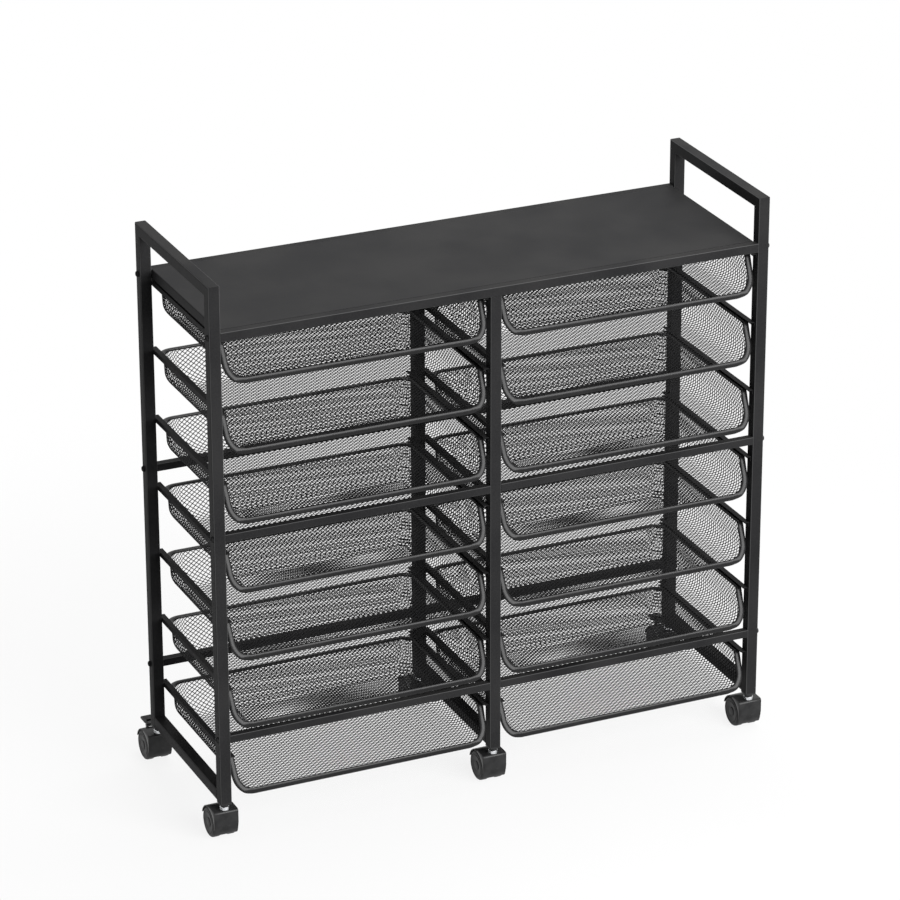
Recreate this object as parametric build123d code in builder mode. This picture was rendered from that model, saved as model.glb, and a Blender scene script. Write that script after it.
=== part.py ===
"""Rolling file cart: two columns of seven mesh trays in a steel tube frame on six twin-wheel casters.

Millimetres, +Z up. The front faces -Y. The origin is on the floor, in the middle of the whole cart.
"""

import os
from math import atan2, cos, radians, sin, tan

from build123d import *

# Tube frame
frame_width = 950.0
frame_depth = 311.0
frame_height = 870.0
tube_side = 19.0
tube_wall = 1.2
tube_corner = 2.0

# Rows and columns of trays
row_count = 7
shelf_runner_gap = 3.0
last_runner_rise = 77.6

# Channel runners on the inner faces of the posts
runner_height = 8.0
runner_sheet = 1.2
runner_wall_clearance = 0.2
runner_setback = 5.0
runner_ledge_gap = 3.0

# Mesh tray
basket_wall = 1.0
basket_depth = 58.0
basket_bottom_radius = 24.0
basket_rear_radius = 25.0
basket_corner_radius = 10.0
basket_side_inset = 3.0
basket_rear_inset = 3.0
basket_rear_gap = 25.5
rim_width = 7.0
rim_thickness = 3.0
rim_side_play = 0.8
rim_seat_clearance = 0.3
front_slope_run = 49.5
front_slope_bend = 14.0
front_lip_bend = 9.0
front_lip_rise = 3.0
front_lip_proud = 4.0

# Shelf
shelf_drop = 76.0
shelf_bar_side = 15.0
shelf_sheet = 1.2
shelf_sheet_bend = 2.0
shelf_side_gap = 1.0

# Cross bars under the third and the sixth row
bar_height = 13.0
bar_depth = 13.0
bar_wall = 1.2
bar_corner = 1.5
bar_end_plate = 3.0
upper_bar_share = 0.378
lower_bar_share = 0.238
upper_bar_row_count = 3
lower_bar_row_count = 6

# Frame bolts
bolt_radius = 3.0
bolt_head_radius = 5.0
bolt_head_height = 3.2
bolt_head_taper_angle = 25.0
bolt_hole_clearance = 0.2
bolt_end_reach = 4.0

# Casters
wheel_radius = 25.0
wheel_width = 13.7
wheel_edge = 4.0
wheel_side_gap = 0.8
axle_radius = 3.0
caster_trail = 21.0
hood_web = 12.0
hood_gap = 0.9
hood_wall = 1.6
hood_rear_angle = 15.0
hood_front_angle = 186.0
hood_hub_radius = 9.0
hood_boss_radius = 8.0
hood_boss_rise = 1.5
stem_radius = 4.0
stem_depth = 19.0
stem_pin_radius = 5.0
stem_pin_length = 26.0
stem_collar_radius = 7.5
stem_collar_height = 5.7
running_clearance = 0.05
swivel_clearance = 0.3
socket_length = 30.0
socket_flange = 2.5
socket_neck_height = 5.5
socket_neck_radius = 6.5
socket_clearance = 0.1

# Brake pedals of the two rear corner casters
pedal_pivot_angle = 70.0
pedal_knuckle_radius = 3.4
pedal_hood_clearance = 0.6
pedal_pin_radius = 1.5
pedal_width = 20.0
pedal_sheet = 3.0
pedal_length = 27.2
pedal_side_clearance = 0.4
ear_thickness = 3.0
ear_radius = 3.8

# One overrun serves every cut and every trimming body
overrun = 5.0

# The hood over a caster's wheels, and the caster's height to the foot of its post
hood_inner_radius = wheel_radius + hood_gap
hood_outer_radius = hood_inner_radius + hood_wall
hood_top_height = wheel_radius + hood_outer_radius + hood_boss_rise
caster_height = hood_top_height + swivel_clearance + stem_collar_height + socket_neck_height + socket_flange

# Heights above the floor
foot_z = caster_height
guard_top_z = foot_z + frame_height
shelf_top_z = guard_top_z - shelf_drop
shelf_under_z = shelf_top_z - shelf_bar_side
shelf_bar_z = shelf_top_z - shelf_bar_side / 2
first_runner_z = shelf_under_z - shelf_runner_gap
row_pitch = (first_runner_z - foot_z - last_runner_rise) / (row_count - 1)

# The pivot of a brake pedal, measured from the stem's axis and the floor
pedal_pivot_gap = pedal_knuckle_radius + pedal_hood_clearance
pivot_reach = hood_outer_radius + pedal_pivot_gap
pivot_y = caster_trail + pivot_reach * cos(radians(pedal_pivot_angle))
pivot_z = wheel_radius + pivot_reach * sin(radians(pedal_pivot_angle))

# Plan: the cart's whole depth runs from the tray lips to the tips of the pedals
rear_reach = pivot_y + pedal_length - tube_side / 2
overall_depth = front_lip_proud + frame_depth + rear_reach
front_y = front_lip_proud - overall_depth / 2
rear_y = front_y + frame_depth
outer_post_x = (frame_width - tube_side) / 2
outer_inner_face_x = frame_width / 2 - tube_side
middle_face_x = tube_side / 2
bay_width = outer_inner_face_x - middle_face_x
bay_x = middle_face_x + bay_width / 2

# The tray in its bay, with heights measured from the runner's top
rim_half = bay_width / 2 - runner_sheet - rim_side_play
wall_half = rim_half - rim_width
runner_width = runner_sheet + rim_side_play + rim_width - runner_wall_clearance
rim_under = runner_sheet + rim_seat_clearance - runner_height
rim_top = rim_under + rim_thickness
basket_under = rim_top - basket_depth
lip_under = basket_under - rim_width
lip_y = front_y - front_lip_proud
rim_rear_y = rear_y - basket_rear_gap
wall_rear_y = rim_rear_y - rim_width
slope_top_y = lip_y + front_slope_run
slope_foot_z = basket_under + front_lip_rise
slope_angle = atan2(rim_top - slope_foot_z, front_slope_run)
ledge_y = slope_top_y + front_slope_bend * tan(slope_angle / 2) + runner_ledge_gap


def runner_z(row):
    """Height of the runner's top face in one row, counted from 1 at the top."""
    return first_runner_z - (row - 1) * row_pitch


def bar_z(row, share):
    """Middle height of a cross bar at a share of the free height from one row's trays to the next runners."""
    return runner_z(row) + lip_under - share * (row_pitch + lip_under - bar_height) - bar_height / 2


def save(piece, name):
    """Label one finished piece and write it under its node's name."""
    piece.label = name
    export_step(piece, f"parts/{name}.step")


# The sides and ends of the frame, each with its outer face and the way inwards
sides = (("left", -1), ("right", 1))
ends = (("front", front_y, 1), ("rear", rear_y, -1))
bar_heights = (bar_z(upper_bar_row_count, upper_bar_share), bar_z(lower_bar_row_count, lower_bar_share))


def post_y(face_y, inward):
    """The axis of the posts at one end."""
    return face_y + inward * tube_side / 2


def shelf_spot(face_y, inward):
    """The axis of the shelf bar at one end, as depth and height."""
    return (face_y + inward * shelf_bar_side / 2, shelf_bar_z)


def bar_spots(face_y, inward):
    """The axes of the cross bars at one end, as depth and height."""
    return [(face_y + inward * bar_depth / 2, height) for height in bar_heights]


os.makedirs("parts", exist_ok=True)


# Square tubes of the frame


def tube_section():
    """The hollow square section of a frame tube, in the sketch that is open."""
    RectangleRounded(tube_side, tube_side, tube_corner)
    Rectangle(tube_side - 2 * tube_wall, tube_side - 2 * tube_wall, mode=Mode.SUBTRACT)


def cut_bolt_holes(post_x, spots):
    """Drill the post that is open through both side walls, at each bolt."""
    with BuildSketch(Plane.YZ.offset(post_x)) as holes:
        with Locations(*spots):
            Circle(bolt_radius + bolt_hole_clearance)
    extrude(holes.sketch, amount=tube_side, both=True, mode=Mode.SUBTRACT)


def mitre_plane(face_y, inward):
    """The plane of a guard's mitred corner, facing the side rail."""
    return Plane(origin=(0, face_y, guard_top_z), x_dir=(1, 0, 0), z_dir=(0, inward, 1))


for side, sign in sides:
    for end, face_y, inward in ends:
        with BuildPart() as outer_post:
            with BuildSketch(Plane((sign * outer_post_x, post_y(face_y, inward), foot_z))):
                tube_section()
            extrude(amount=frame_height)
            split(bisect_by=mitre_plane(face_y, inward), keep=Keep.BOTTOM)
            cut_bolt_holes(sign * outer_post_x, [shelf_spot(face_y, inward), *bar_spots(face_y, inward)])
        save(outer_post.part, f"{side}_{end}_post")

for end, face_y, inward in ends:
    with BuildPart() as middle_post:
        with BuildSketch(Plane((0, post_y(face_y, inward), foot_z))):
            tube_section()
        extrude(amount=shelf_under_z - foot_z)
        cut_bolt_holes(0, bar_spots(face_y, inward))
    save(middle_post.part, f"middle_{end}_post")


def rail_plane(rail_x, start_y, rail_z):
    """The plane of a side rail's section, facing the rear."""
    return Plane((rail_x, start_y, rail_z), x_dir=(1, 0, 0), z_dir=(0, 1, 0))


guard_rail_z = guard_top_z - tube_side / 2
foot_rail_z = foot_z + tube_side / 2
foot_rail_y = front_y + tube_side
foot_rail_length = frame_depth - 2 * tube_side

for side, sign in sides:
    with BuildPart() as side_rails:
        with BuildSketch(rail_plane(sign * outer_post_x, front_y, guard_rail_z)):
            tube_section()
        extrude(amount=frame_depth)
        for end, face_y, inward in ends:
            split(bisect_by=mitre_plane(face_y, inward), keep=Keep.TOP)
        with BuildSketch(rail_plane(sign * outer_post_x, foot_rail_y, foot_rail_z)):
            tube_section()
        extrude(amount=foot_rail_length)
    save(side_rails.part, f"{side}_side_rails")

with BuildPart() as middle_rail:
    with BuildSketch(rail_plane(0, foot_rail_y, foot_rail_z)):
        tube_section()
    extrude(amount=foot_rail_length)
save(middle_rail.part, "middle_bottom_rail")


# Channel runners, one pair for each tray. The ledge stops behind the tray's sloping front.


def channel_section(face_x, inward, top_z, ledge_sheet):
    """A runner's section on one post face, in the sketch that is open; a ledge of 0 leaves an angle."""
    inside_height = runner_height - runner_sheet - ledge_sheet
    with Locations((face_x + inward * runner_width / 2, top_z - runner_height / 2)):
        Rectangle(runner_width, runner_height)
    with Locations((face_x + inward * (runner_width + runner_sheet) / 2, top_z - runner_sheet - inside_height / 2)):
        Rectangle(runner_width - runner_sheet, inside_height, mode=Mode.SUBTRACT)


def add_runners(face_x, inward):
    """Add the channels on one post face to the part that is open."""
    for row in range(1, row_count + 1):
        with BuildSketch(Plane.XZ.offset(runner_setback - rear_y)) as channel:
            channel_section(face_x, inward, runner_z(row), runner_sheet)
        extrude(channel.sketch, amount=rear_y - runner_setback - ledge_y)
        with BuildSketch(Plane.XZ.offset(-ledge_y)) as angle:
            channel_section(face_x, inward, runner_z(row), 0)
        extrude(angle.sketch, amount=ledge_y - front_y - runner_setback)


for side, sign in sides:
    with BuildPart() as outer_runners:
        add_runners(sign * outer_inner_face_x, -sign)
    save(outer_runners.part, f"{side}_runners")

with BuildPart() as middle_runners:
    for side, sign in sides:
        add_runners(sign * middle_face_x, sign)
save(middle_runners.part, "middle_runners")


# Shelf and cross bars: hollow bars with a drilled plate in each end, and a folded sheet


def add_bar(end_x, length, spot, height, depth):
    """Add one hollow bar along X to the part that is open."""
    with BuildSketch(Plane((end_x, *spot), x_dir=(0, 1, 0), z_dir=(1, 0, 0))) as section:
        RectangleRounded(depth, height, bar_corner)
    extrude(section.sketch, amount=length)
    with BuildSketch(Plane((end_x + bar_end_plate, *spot), x_dir=(0, 1, 0), z_dir=(1, 0, 0))) as hollow:
        Rectangle(depth - 2 * bar_wall, height - 2 * bar_wall)
    extrude(hollow.sketch, amount=length - 2 * bar_end_plate, mode=Mode.SUBTRACT)
    with BuildSketch(Plane((end_x, *spot), x_dir=(0, 1, 0), z_dir=(1, 0, 0))) as hole:
        Circle(bolt_radius + bolt_hole_clearance)
    extrude(hole.sketch, amount=length, mode=Mode.SUBTRACT)


with BuildPart() as shelf_bars:
    for end, face_y, inward in ends:
        spot = shelf_spot(face_y, inward)
        add_bar(-outer_inner_face_x, 2 * outer_inner_face_x, spot, shelf_bar_side, shelf_bar_side)
save(shelf_bars.part, "shelf_bars")

with BuildPart() as cross_bars:
    for side, sign in sides:
        for end, face_y, inward in ends:
            for spot in bar_spots(face_y, inward):
                add_bar(sign * bay_x - bay_width / 2, bay_width, spot, bar_height, bar_depth)
save(cross_bars.part, "cross_bars")

panel_width = 2 * (outer_inner_face_x - shelf_side_gap)
panel_depth = frame_depth - 2 * shelf_bar_side
panel_plane = Plane((0, (front_y + rear_y) / 2, shelf_under_z))

with BuildPart() as shelf_panel:
    with BuildSketch(panel_plane):
        Rectangle(panel_width, panel_depth)
    extrude(amount=shelf_bar_side)
    fillet(shelf_panel.edges().group_by(Axis.Z)[-1].filter_by(Axis.Y), shelf_sheet_bend)
    with BuildSketch(panel_plane):
        Rectangle(panel_width - 2 * shelf_sheet, panel_depth - 2 * shelf_sheet)
    extrude(amount=shelf_bar_side - shelf_sheet, mode=Mode.SUBTRACT)
save(shelf_panel.part, "shelf_panel")


# Bolts through the outer posts and plain studs through the middle posts


def add_bolt(sign, spot):
    """Add one round-headed bolt that enters from an outer face to the part that is open."""
    with BuildSketch(Plane((sign * frame_width / 2, *spot), x_dir=(0, 1, 0), z_dir=(sign, 0, 0))) as head:
        Circle(bolt_head_radius)
    extrude(head.sketch, amount=bolt_head_height, taper=bolt_head_taper_angle)
    with BuildSketch(Plane((sign * frame_width / 2, *spot), x_dir=(0, 1, 0), z_dir=(-sign, 0, 0))) as shank:
        Circle(bolt_radius)
    extrude(shank.sketch, amount=tube_side + bar_end_plate + bolt_end_reach)


with BuildPart() as frame_bolts:
    for end, face_y, inward in ends:
        for side, sign in sides:
            for spot in (shelf_spot(face_y, inward), *bar_spots(face_y, inward)):
                add_bolt(sign, spot)
        with BuildSketch(Plane.YZ):
            with Locations(*bar_spots(face_y, inward)):
                Circle(bolt_radius)
        extrude(amount=middle_face_x + bar_end_plate + bolt_end_reach, both=True)
save(frame_bolts.part, "frame_bolts")


# One mesh tray, made in the middle of its bay with its runner's top at height 0


def front_body(half_width, under_z, corner):
    """The tray's U seen from the front, run from behind the tray to in front of it."""
    top_z = rim_top + overrun
    foot_half = half_width - basket_side_inset
    top_half = foot_half + basket_side_inset * (top_z - under_z) / basket_depth
    with BuildPart() as body:
        with BuildSketch(Plane.XZ.offset(-rim_rear_y - overrun)) as section:
            with BuildLine():
                Polyline((foot_half, under_z), (top_half, top_z), (-top_half, top_z), (-foot_half, under_z), close=True)
            make_face()
            fillet(section.vertices().group_by(Axis.Y)[0], corner)
        extrude(amount=rim_rear_y - lip_y + 2 * overrun)
    return body.part


def plan_body(half_width, end_y, corner):
    """The tray's outline seen from above, with round rear corners, as a tall block."""
    length = end_y - lip_y + overrun
    with BuildPart() as body:
        with BuildSketch(Plane((0, end_y - length / 2, lip_under - overrun))) as outline:
            Rectangle(2 * half_width, length)
            fillet(outline.vertices().group_by(Axis.Y)[-1], corner)
        extrude(amount=rim_top - lip_under + 2 * overrun)
    return body.part


def rear_body(end_y, under_z, corner):
    """The tray's floor and leaning rear wall seen from the side, run across the tray."""
    top_z = rim_top + overrun
    start_y = lip_y - overrun
    foot_y = end_y - basket_rear_inset
    top_y = foot_y + basket_rear_inset * (top_z - under_z) / basket_depth
    with BuildPart() as body:
        with BuildSketch(Plane.YZ.offset(-rim_half - overrun)) as profile:
            with BuildLine():
                Polyline((start_y, under_z), (foot_y, under_z), (top_y, top_z), (start_y, top_z), close=True)
            make_face()
            fillet(profile.vertices().sort_by_distance((foot_y, under_z))[0], corner)
        extrude(amount=2 * (rim_half + overrun))
    return body.part


def slope_body(inset):
    """All that lies an inset under the rim's line: level, then sloping to the lip, then upright."""
    behind_y = rim_rear_y + 2 * overrun
    below_z = lip_under - 2 * overrun
    with BuildPart() as body:
        with BuildSketch(Plane.YZ.offset(-rim_half - overrun)) as profile:
            with BuildLine():
                Polyline(
                    (behind_y, rim_top),
                    (slope_top_y, rim_top),
                    (lip_y, slope_foot_z),
                    (lip_y, below_z),
                    (behind_y, below_z),
                    close=True,
                )
            make_face()
            fillet(profile.vertices().sort_by_distance((slope_top_y, rim_top))[0], front_slope_bend)
            fillet(profile.vertices().sort_by_distance((lip_y, slope_foot_z))[0], front_lip_bend)
            if inset:
                offset(amount=-inset, mode=Mode.REPLACE)
        extrude(amount=2 * (rim_half + overrun))
    return body.part


inside_half = wall_half - basket_wall
inside_under = basket_under + basket_wall
inside_rear_y = wall_rear_y - basket_wall
under_rim = slope_body(rim_thickness)

with BuildPart() as tray_inside:
    add(front_body(inside_half, inside_under, basket_bottom_radius - basket_wall))
    add(plan_body(inside_half, inside_rear_y, basket_corner_radius - basket_wall), mode=Mode.INTERSECT)
    add(rear_body(inside_rear_y, inside_under, basket_rear_radius - basket_wall), mode=Mode.INTERSECT)

with BuildPart() as basket:
    add(front_body(wall_half, basket_under, basket_bottom_radius))
    add(plan_body(wall_half, wall_rear_y, basket_corner_radius), mode=Mode.INTERSECT)
    add(rear_body(wall_rear_y, basket_under, basket_rear_radius), mode=Mode.INTERSECT)
    add(under_rim, mode=Mode.INTERSECT)
    add(tray_inside.part, mode=Mode.SUBTRACT)

with BuildPart() as rim:
    add(front_body(rim_half, lip_under, basket_bottom_radius + rim_width))
    add(plan_body(rim_half, rim_rear_y, basket_corner_radius + rim_width), mode=Mode.INTERSECT)
    add(slope_body(0), mode=Mode.INTERSECT)
    add(under_rim, mode=Mode.SUBTRACT)
    add(tray_inside.part, mode=Mode.SUBTRACT)

for side, sign in sides:
    for row in range(1, row_count + 1):
        bay = Location((sign * bay_x, 0, runner_z(row)))
        save(basket.part.moved(bay), f"drawer_{side}_{row}_basket")
        save(rim.part.moved(bay), f"drawer_{side}_{row}_rim")


# Casters, made with the stem's axis at the origin and the wheels trailing to the rear

wheel_inner_x = hood_web / 2 + wheel_side_gap
wheel_outer_x = wheel_inner_x + wheel_width
axle_plane = Plane((0, caster_trail, wheel_radius), x_dir=(0, 1, 0), z_dir=(1, 0, 0))

with BuildPart() as wheels:
    for sign in (-1, 1):
        with BuildSketch(axle_plane.offset(sign * wheel_inner_x)):
            Circle(wheel_radius)
        extrude(amount=sign * wheel_width)
    rims = wheels.edges().filter_by(GeomType.CIRCLE).group_by(Axis.X)
    chamfer([*rims[0], *rims[-1]], wheel_edge)
    with BuildSketch(axle_plane):
        Circle(axle_radius)
    extrude(amount=wheel_inner_x, both=True)


def hood_wedge():
    """Keep the share of a full turn round the axle that the hood covers, in the sketch that is open."""
    reach = 2 * hood_outer_radius
    angles = (hood_rear_angle, (hood_rear_angle + hood_front_angle) / 2, hood_front_angle)
    with BuildLine() as wedge:
        Polyline((0, 0), *[(reach * cos(radians(a)), reach * sin(radians(a))) for a in angles], close=True)
    make_face(wedge.edges(), mode=Mode.INTERSECT)


ear_reach = pivot_reach - pedal_pivot_gap - hood_wall / 2
ear_middle = (pivot_reach + ear_reach) / 2
ear_x = hood_web / 2 + pedal_side_clearance + ear_thickness / 2
pivot_spot = (pivot_reach * cos(radians(pedal_pivot_angle)), pivot_reach * sin(radians(pedal_pivot_angle)))
ear_spot = (ear_middle * cos(radians(pedal_pivot_angle)), ear_middle * sin(radians(pedal_pivot_angle)))


def build_hood(with_ears):
    """One caster's hood: the web between the wheels, the cover over them and the stem's boss."""
    with BuildPart() as hood:
        with BuildSketch(axle_plane):
            Circle(hood_outer_radius)
            Circle(hood_inner_radius, mode=Mode.SUBTRACT)
            hood_wedge()
        extrude(amount=wheel_outer_x, both=True)
        with BuildSketch(axle_plane):
            Circle(hood_outer_radius)
            hood_wedge()
            Circle(hood_hub_radius)
            with Locations((-caster_trail, (hood_top_height - wheel_radius) / 2)):
                Rectangle(2 * hood_boss_radius, hood_top_height - wheel_radius)
        extrude(amount=hood_web / 2, both=True)
        if with_ears:
            for sign in (-1, 1):
                with BuildSketch(axle_plane.offset(sign * ear_x)):
                    with Locations(pivot_spot):
                        Circle(ear_radius)
                    with Locations(ear_spot):
                        Rectangle(pivot_reach - ear_reach, 2 * ear_radius, rotation=pedal_pivot_angle)
                extrude(amount=ear_thickness / 2, both=True)
            with BuildSketch(axle_plane):
                with Locations(pivot_spot):
                    Circle(pedal_pin_radius + running_clearance)
            extrude(amount=wheel_outer_x, both=True, mode=Mode.SUBTRACT)
        with BuildSketch(axle_plane):
            Circle(axle_radius + running_clearance)
        extrude(amount=hood_web, both=True, mode=Mode.SUBTRACT)
        with BuildSketch(Plane.XY.offset(hood_top_height + overrun)):
            Circle(stem_radius + running_clearance)
        extrude(amount=-(stem_depth + overrun), mode=Mode.SUBTRACT)
    return hood.part


plain_hood = build_hood(False)
braked_hood = build_hood(True)

pedal_plate_y = pivot_spot[0] + ear_radius + pedal_side_clearance
pedal_tip_y = pivot_spot[0] + pedal_length
pedal_middle_z = pivot_spot[1] + pedal_knuckle_radius - pedal_sheet / 2

with BuildPart() as pedal:
    with BuildSketch(axle_plane):
        with Locations(pivot_spot):
            Circle(pedal_knuckle_radius)
        with Locations(((pivot_spot[0] + pedal_tip_y) / 2, pedal_middle_z)):
            Rectangle(pedal_length, pedal_sheet)
    extrude(amount=hood_web / 2, both=True)
    with BuildSketch(axle_plane):
        with Locations(((pedal_plate_y + pedal_tip_y) / 2, pedal_middle_z)):
            Rectangle(pedal_tip_y - pedal_plate_y, pedal_sheet)
    extrude(amount=pedal_width / 2, both=True)
    with BuildSketch(axle_plane):
        with Locations(pivot_spot):
            Circle(pedal_pin_radius)
    extrude(amount=ear_x + ear_thickness / 2, both=True)

collar_z = hood_top_height + swivel_clearance
neck_z = collar_z + stem_collar_height
flange_z = caster_height - socket_flange

with BuildPart() as stem:
    with BuildSketch(Plane.XY.offset(collar_z)):
        Circle(stem_radius)
    extrude(amount=-stem_depth)
    with BuildSketch(Plane.XY.offset(collar_z)):
        Circle(stem_collar_radius)
    extrude(amount=stem_collar_height)
    with BuildSketch(Plane.XY.offset(neck_z)):
        Circle(stem_pin_radius)
    extrude(amount=stem_pin_length)

socket_side = tube_side - 2 * tube_wall - 2 * socket_clearance

with BuildPart() as socket:
    with BuildSketch(Plane.XY.offset(neck_z)):
        Circle(socket_neck_radius)
    extrude(amount=flange_z - neck_z)
    with BuildSketch(Plane.XY.offset(flange_z)):
        RectangleRounded(tube_side, tube_side, tube_corner)
    extrude(amount=socket_flange)
    with BuildSketch(Plane.XY.offset(caster_height)):
        Rectangle(socket_side, socket_side)
    extrude(amount=socket_length)
    with BuildSketch(Plane.XY.offset(neck_z)):
        Circle(stem_pin_radius + socket_clearance)
    extrude(amount=stem_pin_length, mode=Mode.SUBTRACT)

braked = ("rear_left", "rear_right")
feet = []

for column, post_x in (("left", -outer_post_x), ("middle", 0), ("right", outer_post_x)):
    for end, face_y, inward in ends:
        foot = Location((post_x, post_y(face_y, inward), 0))
        feet.append(foot)
        corner = f"{end}_{column}"
        hood = braked_hood if corner in braked else plain_hood
        save(hood.moved(foot), f"{corner}_caster_hood")
        save(wheels.part.moved(foot), f"{corner}_caster_wheels")
        if corner in braked:
            save(pedal.part.moved(foot), f"{corner}_brake_pedal")

with BuildPart() as caster_stems:
    with Locations(*feet):
        add(stem.part)
save(caster_stems.part, "caster_stems")

with BuildPart() as caster_sockets:
    with Locations(*feet):
        add(socket.part)
save(caster_sockets.part, "caster_sockets")
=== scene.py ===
"""Looks of the rolling file cart: finishes, mesh trays, casters and a pale studio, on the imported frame."""

import logging
import math
from collections.abc import Callable, Iterable, Mapping, Sequence
from dataclasses import dataclass
from enum import Enum

import bmesh
import bpy
import numpy as np
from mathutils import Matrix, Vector


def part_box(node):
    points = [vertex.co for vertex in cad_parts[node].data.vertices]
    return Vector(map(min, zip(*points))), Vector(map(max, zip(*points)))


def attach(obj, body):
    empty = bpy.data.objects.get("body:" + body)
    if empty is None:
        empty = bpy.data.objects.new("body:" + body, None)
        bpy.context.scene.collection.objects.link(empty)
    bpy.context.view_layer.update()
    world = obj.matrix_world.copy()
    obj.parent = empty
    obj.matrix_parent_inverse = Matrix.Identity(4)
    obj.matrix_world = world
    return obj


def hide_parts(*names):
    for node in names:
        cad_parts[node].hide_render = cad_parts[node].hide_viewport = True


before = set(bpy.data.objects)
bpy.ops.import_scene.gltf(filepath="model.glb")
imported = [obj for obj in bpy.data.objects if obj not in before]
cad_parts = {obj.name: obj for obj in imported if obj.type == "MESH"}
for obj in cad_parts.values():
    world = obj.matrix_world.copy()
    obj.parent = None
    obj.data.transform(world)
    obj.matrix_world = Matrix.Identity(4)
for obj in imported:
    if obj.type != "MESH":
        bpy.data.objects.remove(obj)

log = logging.getLogger("file_cart")

Operand = "Shade | float"
Pair = tuple[float, float]
Point = tuple[float, float, float]
Colour = tuple[float, float, float]
Spot = Callable[[float, float, float], Point]

MM = 0.001


class Shade:
    """One output socket of a material, with operators that add Math nodes."""

    def __init__(self, recipe: "Recipe", socket: bpy.types.NodeSocket) -> None:
        """Keep the recipe and the socket."""
        self.recipe = recipe
        self.socket = socket

    def _math(self, operation: str, first: Operand, second: Operand) -> "Shade":
        """Add one Math node.

        Args:
            operation: Blender's name of the operation.
            first: Left operand, a shade or a number.
            second: Right operand, a shade or a number.

        Returns:
            The node's value.
        """
        return self.recipe.node("ShaderNodeMath", {"operation": operation}, {0: first, 1: second})["Value"]

    def __add__(self, other: Operand) -> "Shade":
        """Return self + other."""
        return self._math("ADD", self, other)

    def __radd__(self, other: Operand) -> "Shade":
        """Return other + self."""
        return self._math("ADD", other, self)

    def __sub__(self, other: Operand) -> "Shade":
        """Return self - other."""
        return self._math("SUBTRACT", self, other)

    def __rsub__(self, other: Operand) -> "Shade":
        """Return other - self."""
        return self._math("SUBTRACT", other, self)

    def __mul__(self, other: Operand) -> "Shade":
        """Return self * other."""
        return self._math("MULTIPLY", self, other)

    def __rmul__(self, other: Operand) -> "Shade":
        """Return other * self."""
        return self._math("MULTIPLY", other, self)

    def greater(self, other: Operand) -> "Shade":
        """Return the greater of self and other."""
        return self._math("MAXIMUM", self, other)

    def step(self, low: float, high: float) -> "Shade":
        """Ease from 0 at low to 1 at high.

        Args:
            low: Value that gives 0.
            high: Value that gives 1.

        Returns:
            The eased value, held to 0 and 1 outside.
        """
        settings = {"interpolation_type": "SMOOTHSTEP"}
        return self.recipe.node("ShaderNodeMapRange", settings, {"Value": self, 1: low, 2: high})["Result"]


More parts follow.
